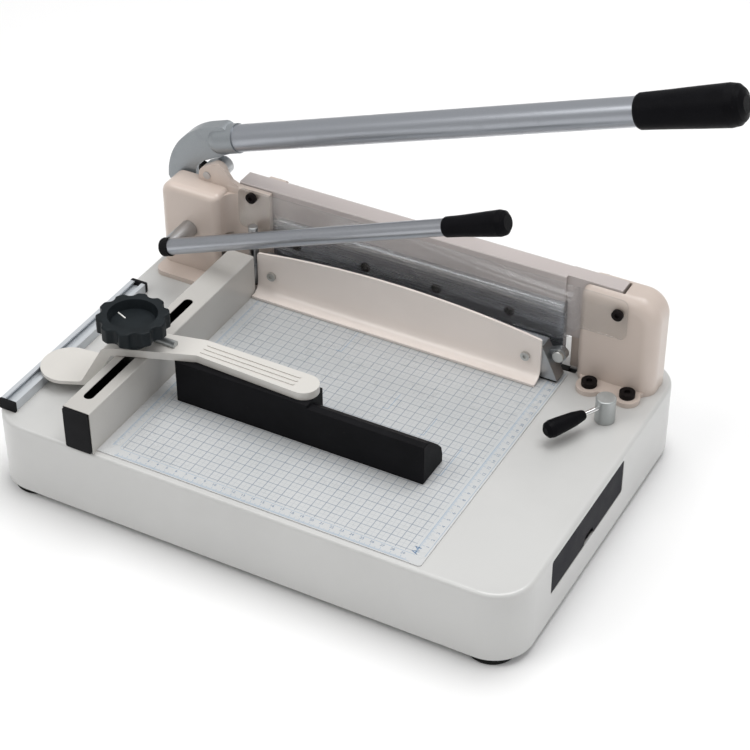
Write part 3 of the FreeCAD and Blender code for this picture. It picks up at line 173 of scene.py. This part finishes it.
def enamel(name, colour, peel=420.0, peel_depth=0.00005, cast=0.0, roughness=0.30,
           hollow_with_painted_shade=None):
    """Stoved enamel: orange peel, clouding, grime and painted shade in corners; cast adds sand
    texture.

    hollow names a node whose inside is painted near black: bare unpainted steel plus painted
    shade."""
    g = Graph(name)
    cloud = g.remap(g.noise(7.0, 4.0), 0.35, 0.65, smooth=True)
    tone = g.mix(cloud, shade(colour, 0.965), shade(colour, 1.02))
    speck = g.remap(g.noise(1500.0, 2.0), 0.66, 0.74)
    tone = g.mix(g.math("MULTIPLY", speck, 0.12), tone, shade(colour, 0.72))
    # grime and painted shade: the paint is darkened towards brown in corners and creases, driven
    # by ambient occlusion
    grime_and_crease_shade = g.remap(g.creases(0.006), 0.25, 0.85, 0.32, 0.0)
    tone = g.mix(grime_and_crease_shade, tone, rgba(0.34, 0.29, 0.24))
    # the node's inside is painted near black: unpainted steel darkened further as painted shade
    if hollow_with_painted_shade:
        tone = g.mix(inside_of(g, hollow_with_painted_shade), tone, rgba(0.004, 0.004, 0.004))
    scuff = g.remap(g.noise(60.0, 6.0, 0.7), 0.6, 0.75)
    gloss = g.math("MULTIPLY_ADD", scuff, 0.14, roughness)
    normal = g.bump(g.noise(peel, 2.0, 0.4), peel_depth)
    if cast:
        normal = g.bump(g.noise(900.0, 4.0, 0.65), cast, normal=normal)
    return g.surface(Base_Color=tone, Roughness=gloss, Normal=normal, Coat_Weight=0.35,
                     Coat_Roughness=0.18, IOR=1.5)


def silver_paint(name, colour, roughness=0.34, metallic=0.75):
    """Aluminium-flake paint with a fine sparkle and handling marks."""
    g = Graph(name)
    flake = g.remap(g.cells(2600.0), 0.1, 0.6)
    tone = g.mix(flake, shade(colour, 1.08), shade(colour, 0.9))
    worn = g.remap(g.noise(40.0, 5.0, 0.65), 0.58, 0.78)
    tone = g.mix(g.math("MULTIPLY", worn, 0.35), tone, shade(colour, 0.7))
    gloss = g.math("MULTIPLY_ADD", worn, 0.16, roughness)
    normal = g.bump(g.noise(700.0, 3.0), 0.00004)
    return g.surface(Base_Color=tone, Roughness=gloss, Metallic=metallic, Normal=normal,
                     Coat_Weight=0.2, Coat_Roughness=0.2)


def drawn_metal(name, colour, grain, roughness=0.28, depth=0.00002, turn=(0.0, 0.0, 0.0),
                smear=0.12, contrast=0.12, metallic=1.0):
    """Bare metal whose polishing lines follow the long direction of grain's small scale."""
    g = Graph(name)
    lines = g.noise(1.0, 4.0, 0.7, place=g.stretched(grain, turn))
    tone = g.mix(lines, shade(colour, 1 - contrast), shade(colour, 1 + contrast))
    stain = g.remap(g.noise(25.0, 5.0, 0.6), 0.5, 0.75)
    tone = g.mix(g.math("MULTIPLY", stain, 0.2), tone, shade(colour, 0.7))
    gloss = g.math("MULTIPLY_ADD", lines, smear, roughness - smear / 2)
    normal = g.bump(lines, depth)
    return g.surface(Base_Color=tone, Roughness=gloss, Metallic=metallic, Normal=normal)


def moulded(name, colour, roughness=0.42, grain=1600.0, depth=0.00004, rubber=False,
            specular=0.05):
    """Moulded plastic or rubber: fine spark texture, dust in patches, paler rubbed patches."""
    g = Graph(name)
    tex = g.cells(grain) if rubber else g.noise(grain, 3.0, 0.6)
    cloud = g.remap(g.noise(30.0, 5.0, 0.65), 0.4, 0.7)
    tone = g.mix(cloud, colour, shade(colour, 1.5))
    dust = g.remap(g.noise(260.0, 6.0, 0.75), 0.62, 0.74, 0.0, 0.05)
    tone = g.mix(dust, tone, rgba(0.22, 0.21, 0.20))
    gloss = g.math("MULTIPLY_ADD", cloud, 0.12, roughness)
    return g.surface(Base_Color=tone, Roughness=gloss, Normal=g.bump(tex, depth),
                     Specular_IOR_Level=specular)


def clear_sheet(name):
    """Acrylic sheet with hairline scratches and a faint ripple."""
    g = Graph(name)
    hair = g.noise(1.0, 5.0, 0.8, place=g.stretched((35.0, 35.0, 900.0), (0.0, 0.5, 0.0)))
    scratch = g.remap(hair, 0.64, 0.72)
    gloss = g.math("MULTIPLY_ADD", scratch, 0.18, 0.03)
    normal = g.bump(g.noise(9.0, 2.0), 0.0006, strength=0.25)
    return g.surface(Base_Color=rgba(0.985, 0.99, 0.985), Roughness=gloss,
                     Transmission_Weight=1.0, IOR=1.47, Normal=normal, Alpha=0.3)


# the printed table, in millimetres from its front left corner
GRID_LEFT, GRID_RIGHT, GRID_NEAR, GRID_FAR = 18.0, 316.0, 13.0, 304.0
LINE_INSET = 2.0                                # from the grid's edge to its first line
LINE_FADE = 0.12                                # soft edge of a printed line
SCALE_LEFT, SCALE_RIGHT = 318.5, 329.0          # ruler strip on the right
FRONT_LOW, FRONT_HIGH = 1.5, 11.5               # ruler strip along the front edge
SIDE_LEFT, SIDE_RIGHT = 8.5, 17.0               # ruler strip on the left
RULERS = ((SCALE_LEFT, SCALE_RIGHT, GRID_NEAR, GRID_FAR, True),     # True runs along y
          (GRID_LEFT, GRID_RIGHT, FRONT_LOW, FRONT_HIGH, False),
          (SIDE_LEFT, SIDE_RIGHT, GRID_NEAR, GRID_FAR, True))
TICKS = ((1.0, 1.8, 0.10), (5.0, 3.0, 0.12), (10.0, 4.2, 0.16))     # step, reach, half width
BORDER_HALF = 0.22                              # half width of a ruler's border line
BORDER_FROM, BORDER_TO = -2.0, 300.0
SIZE_MARKS = ((123.0, 236.0, 271.0), (205.0, 178.0, 203.0), (252.0, 159.0, 187.0),
              (292.0, 115.0, 159.0))            # each is x, low y, high y
MARK_HALF, MARK_FOOT = 0.35, 6.0
PAPER_DARK, PAPER_LIGHT = rgba(0.53, 0.545, 0.55), rgba(0.58, 0.59, 0.595)
GRID_INK, RULER_INK = rgba(0.13, 0.18, 0.25), rgba(0.16, 0.30, 0.46)


def ruled_print(name):
    """White table with a pale blue centimetre grid, half lines, three rulers and size marks."""
    g = Graph(name)
    x_out, y_out, _ = g.split()
    x = g.math("MULTIPLY", g.math("SUBTRACT", x_out, TABLE_LEFT), 1 / MM)
    y = g.math("MULTIPLY", g.math("SUBTRACT", y_out, TABLE_FRONT), 1 / MM)

    def ruled(value, step, half_width):
        away = g.math("PINGPONG", value, step / 2)
        return g.remap(away, half_width, half_width + LINE_FADE, 1.0, 0.0)

    def within(value, low, high):
        above = g.math("GREATER_THAN", value, low)
        return g.math("MULTIPLY", above, g.math("LESS_THAN", value, high))

    def region(x0, x1, y0, y1):
        return g.math("MULTIPLY", within(x, x0, x1), within(y, y0, y1))

    def add(total, mask):
        return mask if total is None else g.math("MAXIMUM", total, mask)

    grid = region(GRID_LEFT, GRID_RIGHT, GRID_NEAR, GRID_FAR)
    gx = g.math("SUBTRACT", x, GRID_LEFT + LINE_INSET)
    gy = g.math("SUBTRACT", y, GRID_NEAR + LINE_INSET)
    whole = g.math("MAXIMUM", ruled(gx, 10.0, 0.30), ruled(gy, 10.0, 0.30))
    half = g.math("MAXIMUM", ruled(gx, 5.0, 0.14), ruled(gy, 5.0, 0.14))
    pale = g.math("MULTIPLY", grid, g.math("MAXIMUM", whole, g.math("MULTIPLY", half, 0.4)))
    ink = None
    for x0, x1, y0, y1, along_y in RULERS:
        run = gy if along_y else gx
        side, edge, inner = (x, x0, x1) if along_y else (y, y0, y1)
        area = region(x0, x1, y0, y1)
        for step, reach, width in TICKS:
            near_edge = g.math("LESS_THAN", g.math("SUBTRACT", side, edge), reach)
            tick = g.math("MULTIPLY", near_edge, ruled(run, step, width))
            ink = add(ink, g.math("MULTIPLY", area, tick))
        for border in (edge, inner):
            off = g.math("ABSOLUTE", g.math("SUBTRACT", side, border))
            rule = g.math("LESS_THAN", off, BORDER_HALF)
            span = within(run, BORDER_FROM, BORDER_TO)
            ink = add(ink, g.math("MULTIPLY", rule, span))
    for mark_x, y0, y1 in SIZE_MARKS:
        ink = add(ink, region(mark_x - MARK_HALF, mark_x + MARK_HALF, y0, y1))
        ink = add(ink, region(mark_x - MARK_FOOT, mark_x, y0 - MARK_HALF, y0 + MARK_HALF))
    worn = g.remap(g.noise(90.0, 6.0, 0.7), 0.45, 0.7, 1.0, 0.72)
    cloud = g.remap(g.noise(8.0, 4.0), 0.35, 0.65)
    base = g.mix(cloud, PAPER_DARK, PAPER_LIGHT)
    tone = g.mix(g.math("MULTIPLY", pale, g.math("MULTIPLY", worn, 0.72)), base, GRID_INK)
    tone = g.mix(g.math("MULTIPLY", ink, g.math("MULTIPLY", worn, 0.75)), tone, RULER_INK)
    # grime and painted shade: the table is darkened in corners and creases, driven by ambient
    # occlusion
    grime_and_crease_shade = g.remap(g.creases(0.008), 0.2, 0.9, 0.35, 0.0)
    tone = g.mix(grime_and_crease_shade, tone, rgba(0.35, 0.33, 0.32))
    gloss = g.remap(g.noise(45.0, 5.0, 0.65), 0.4, 0.7, 0.26, 0.40)
    return g.surface(Base_Color=tone, Roughness=gloss, Coat_Weight=0.2,
                     Normal=g.bump(g.noise(500.0, 2.0), 0.00003))


# grain scales are per metre, and bump depths are in metres
FINISH = {
    "housing_enamel": enamel("housing_enamel", rgba(0.575, 0.575, 0.565)),
    "stand_enamel": enamel("stand_enamel", rgba(0.63, 0.535, 0.475), cast=0.00006,
                           roughness=0.33),
    "beam_enamel": enamel("beam_enamel", rgba(0.56, 0.505, 0.49), cast=0.00003),
    "clamp_enamel": enamel("clamp_enamel", rgba(0.90, 0.82, 0.765)),
    "arm_enamel": enamel("arm_enamel", rgba(0.66, 0.64, 0.605), cast=0.00005, roughness=0.28),
    "rail_enamel": enamel("rail_enamel", rgba(0.50, 0.485, 0.46), hollow_with_painted_shade="side_rail"),
    "bed_steel": drawn_metal("bed_steel", rgba(0.36, 0.37, 0.38), (20.0, 900.0, 900.0), 0.42),
    "zinc_steel": drawn_metal("zinc_steel", rgba(0.58, 0.58, 0.56), (300.0, 300.0, 60.0),
                              0.36),
    "bright_steel": drawn_metal("bright_steel", rgba(0.50, 0.51, 0.52), (900.0, 25.0, 900.0),
                                0.34),
    "clamp_steel": drawn_metal("clamp_steel", rgba(0.42, 0.43, 0.44), (30.0, 700.0, 700.0),
                               0.36),
    "track_aluminium": drawn_metal("track_aluminium", rgba(0.60, 0.63, 0.66),
                                   (700.0, 12.0, 700.0), 0.40, contrast=0.08, metallic=0.35),
    "blade_steel": drawn_metal("blade_steel", rgba(0.38, 0.395, 0.43), (6.0, 300.0, 260.0),
                               0.27, depth=0.000006, smear=0.06, contrast=0.10,
                               metallic=0.8),
    "strip_bright": drawn_metal("strip_bright", rgba(0.68, 0.69, 0.71), (5.0, 500.0, 500.0),
                                0.24, depth=0.000008, smear=0.06, contrast=0.07,
                                metallic=0.85),
    "lever_tube": drawn_metal("lever_tube", rgba(0.44, 0.455, 0.49), (18.0, 900.0, 900.0),
                              0.30, turn=(0.0, 0.368, 0.0)),
    "rod_chrome": drawn_metal("rod_chrome", rgba(0.78, 0.78, 0.78), (120.0, 120.0, 120.0),
                              0.10, smear=0.05),
    "post_grey": silver_paint("post_grey", rgba(0.46, 0.48, 0.48), 0.36, 0.85),
    "hub_silver": silver_paint("hub_silver", rgba(0.32, 0.345, 0.365), 0.40, 0.55),
    "tube_silver": silver_paint("tube_silver", rgba(0.42, 0.44, 0.48), 0.30, 0.8),
    "rubber_black": moulded("rubber_black", rgba(0.012, 0.012, 0.012), 0.6, 900.0, 0.00008, True),
    "stick_plastic": moulded("stick_plastic", rgba(0.03, 0.03, 0.03), 0.5),
    "plug_black": moulded("plug_black", rgba(0.010, 0.010, 0.011), 0.45),
    "bolt_black": moulded("bolt_black", rgba(0.010, 0.008, 0.008), 0.38, 800.0, 0.00002),
    "grip_black": moulded("grip_black", rgba(0.004, 0.004, 0.005), 0.40, 1100.0, 0.00012, True),
    "bar_black": moulded("bar_black", rgba(0.007, 0.007, 0.008), 0.46, 1300.0, 0.00005),
    "knob_black": moulded("knob_black", rgba(0.010, 0.013, 0.015), 0.38, 1700.0, 0.00003,
                          specular=0.13),
    "drawer_black": moulded("drawer_black", rgba(0.014, 0.014, 0.018), 0.46, 1500.0, 0.00005),
    "ruled_white": ruled_print("ruled_white"),
    "guard_clear": clear_sheet("guard_clear"),
}

# nodes whose finish differs from the one their slot names
OWN_FINISH = {"clamp_bar": "clamp_steel", "side_rail": "rail_enamel"}
slot_of = {s["node"]: s["material_slot"] for s in frame["record"]["subparts"]}

for node, obj in frame["nodes"].items():
    finish = FINISH[OWN_FINISH.get(node, slot_of[node])]
    if not obj.material_slots:
        obj.data.materials.append(finish)
    for slot in obj.material_slots:
        slot.material = finish


# ---------------------------------------------------------------- added pieces
def new_piece(name, body, material, bm):
    """Make a piece from a bmesh, ride it on its body and name the finish it takes."""
    mesh = bpy.data.meshes.new(name)
    bm.to_mesh(mesh)
    bm.free()
    mesh.materials.append(material)
    piece = bpy.data.objects.new(name, mesh)
    bpy.context.scene.collection.objects.link(piece)
    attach(piece, body)
    return piece


def text_mesh(words, size):
    """Flat mesh of some characters, centred on the origin."""
    curve = bpy.data.curves.new("words", "FONT")
    curve.body = words
    curve.size = size
    curve.align_x = "CENTER"
    curve.align_y = "CENTER"
    curve.resolution_u = 3
    holder = bpy.data.objects.new("words", curve)
    bpy.context.scene.collection.objects.link(holder)
    bpy.context.view_layer.update()
    mesh = bpy.data.meshes.new_from_object(holder.evaluated_get(
        bpy.context.evaluated_depsgraph_get()))
    bpy.data.objects.remove(holder)
    bpy.data.curves.remove(curve)
    return mesh


def printed_ink(name, colour):
    """Thin printed ink, worn paler in places."""
    g = Graph(name)
    worn = g.remap(g.noise(700.0, 5.0, 0.7), 0.4, 0.7)
    tone = g.mix(worn, colour, shade(colour, 1.9))
    return g.surface(Base_Color=tone, Roughness=g.remap(worn, 0.0, 1.0, 0.3, 0.45))


LAST_NUMBER = 29
CENTIMETRE = 10.0
DIGIT_LIFT = 0.04                               # above the table's face
SIDE_DIGIT, FRONT_DIGIT, SHEET_MARK = 4.4, 4.0, 9.0


def ruler_digits():
    """Centimetre numbers on the right and front rulers, and one sheet-size mark."""
    bm = bmesh.new()
    turned = Matrix.Rotation(math.radians(90), 4, "Z")

    def stamp(words, size, x, y, turn):
        mesh = text_mesh(words, size * MM)
        mesh.transform(Matrix.Translation(on_table(x, y, DIGIT_LIFT)) @ turn)
        bm.from_mesh(mesh)
        bpy.data.meshes.remove(mesh)

    for number in range(1, LAST_NUMBER + 1):
        stamp(str(number), SIDE_DIGIT, SCALE_RIGHT - 3.4,
              GRID_NEAR + LINE_INSET + CENTIMETRE * number, turned)
    for number in range(1, LAST_NUMBER + 1):
        stamp(str(number), FRONT_DIGIT, GRID_LEFT + LINE_INSET + CENTIMETRE * number,
              FRONT_HIGH - 3.0, Matrix.Identity(4))
    stamp("A4", SHEET_MARK, GRID_RIGHT + 3.0, 17.0, turned)
    return new_piece("ruler_digits", "base", printed_ink(
        "ruler_ink", rgba(0.07, 0.13, 0.22)), bm)


ruler_digits()


TICK_SIZE = Vector((12 * MM, 1.3 * MM, 0.8 * MM))
TICK_OFFSET = Vector((-14.6 * MM, 3 * MM, 0.5 * MM))
TICK_TURN = -22
TICK_BEVEL = 0.25 * MM
DISH_DEPTH = 9 * MM                             # from the knob's highest point


def knob_tick():
    """White line moulded across the knob's dish."""
    low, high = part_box("knob")
    centre = Vector(((low.x + high.x) / 2, (low.y + high.y) / 2, high.z - DISH_DEPTH))
    bm = bmesh.new()
    bmesh.ops.create_cube(bm, size=1.0)
    turn = Matrix.Rotation(math.radians(TICK_TURN), 4, "Z")
    bmesh.ops.scale(bm, vec=TICK_SIZE, verts=bm.verts)
    bmesh.ops.bevel(bm, geom=bm.edges[:], offset=TICK_BEVEL, segments=2, profile=0.5,
                    affect="EDGES")
    place = Matrix.Translation(centre + TICK_OFFSET)
    bmesh.ops.transform(bm, matrix=place @ turn, verts=bm.verts)
    white = moulded("tick_white", rgba(0.62, 0.62, 0.60), 0.5)
    return new_piece("knob_tick", "clamping_knob", white, bm)


knob_tick()


# ---------------------------------------------------------------- stage
FLOOR_HALF = 6.0


def backdrop():
    """Plain pale floor."""
    bm = bmesh.new()
    bmesh.ops.create_grid(bm, x_segments=1, y_segments=1, size=FLOOR_HALF)
    mesh = bpy.data.meshes.new("floor")
    bm.to_mesh(mesh)
    bm.free()
    g = Graph("floor")
    tone = g.mix(g.noise(3.0), rgba(0.90, 0.90, 0.90), rgba(0.93, 0.93, 0.93))
    mesh.materials.append(g.surface(Base_Color=tone, Roughness=0.85))
    floor = bpy.data.objects.new("floor", mesh)
    bpy.context.scene.collection.objects.link(floor)


backdrop()


def area_light(name, place, target, size, power, colour=(1.0, 1.0, 1.0)):
    """Round soft light at place, aimed at target."""
    lamp = bpy.data.lights.new(name, "AREA")
    lamp.shape = "DISK"
    lamp.size = size
    lamp.energy = power
    lamp.color = colour
    holder = bpy.data.objects.new(name, lamp)
    bpy.context.scene.collection.objects.link(holder)
    holder.location = place
    aim = Vector(target) - Vector(place)
    holder.rotation_euler = aim.to_track_quat("-Z", "Y").to_euler()


area_light("key", (-1.2, -1.4, 2.4), (0.0, 0.0, 0.1), 1.6, 18.0, (1.0, 0.99, 0.97))
area_light("fill", (2.4, -0.6, 1.6), (0.0, 0.0, 0.1), 1.8, 5.0, (0.98, 0.98, 1.0))
area_light("top", (0.2, 0.6, 2.6), (0.0, 0.0, 0.0), 2.0, 44.0)

world = bpy.data.worlds.new("studio")
world.use_nodes = True
sky = world.node_tree.nodes["Background"].inputs
sky["Color"].default_value = rgba(1.0, 1.0, 1.0)
sky["Strength"].default_value = 0.50
bpy.context.scene.world = world
bpy.context.scene.view_settings.view_transform = "Standard"

# ---------------------------------------------------------------- camera
AZIMUTH, ELEVATION, ROLL = math.radians(28.46), math.radians(37.315), math.radians(-0.173)
CAMERA_PLACE = on_table(925.1, -1175.4, 1208.3)
SENSOR, LENS, CLIP_END = 36.0, 100.5, 20.0


def make_camera():
    """Camera at CAMERA_PLACE, turned by the three angles."""
    back = Vector((math.sin(AZIMUTH) * math.cos(ELEVATION),
                   -math.cos(AZIMUTH) * math.cos(ELEVATION), math.sin(ELEVATION)))
    right = Vector((math.cos(AZIMUTH), math.sin(AZIMUTH), 0.0))
    up = back.cross(right)
    x_axis = math.cos(ROLL) * right + math.sin(ROLL) * up
    y_axis = -math.sin(ROLL) * right + math.cos(ROLL) * up
    lens = bpy.data.cameras.new("camera")
    lens.sensor_width = SENSOR
    lens.lens = LENS
    lens.clip_end = CLIP_END
    camera = bpy.data.objects.new("camera", lens)
    bpy.context.scene.collection.objects.link(camera)
    turn = Matrix((x_axis, y_axis, back)).transposed()
    camera.matrix_world = Matrix.Translation(CAMERA_PLACE) @ turn.to_4x4()
    bpy.context.scene.camera = camera


make_camera()
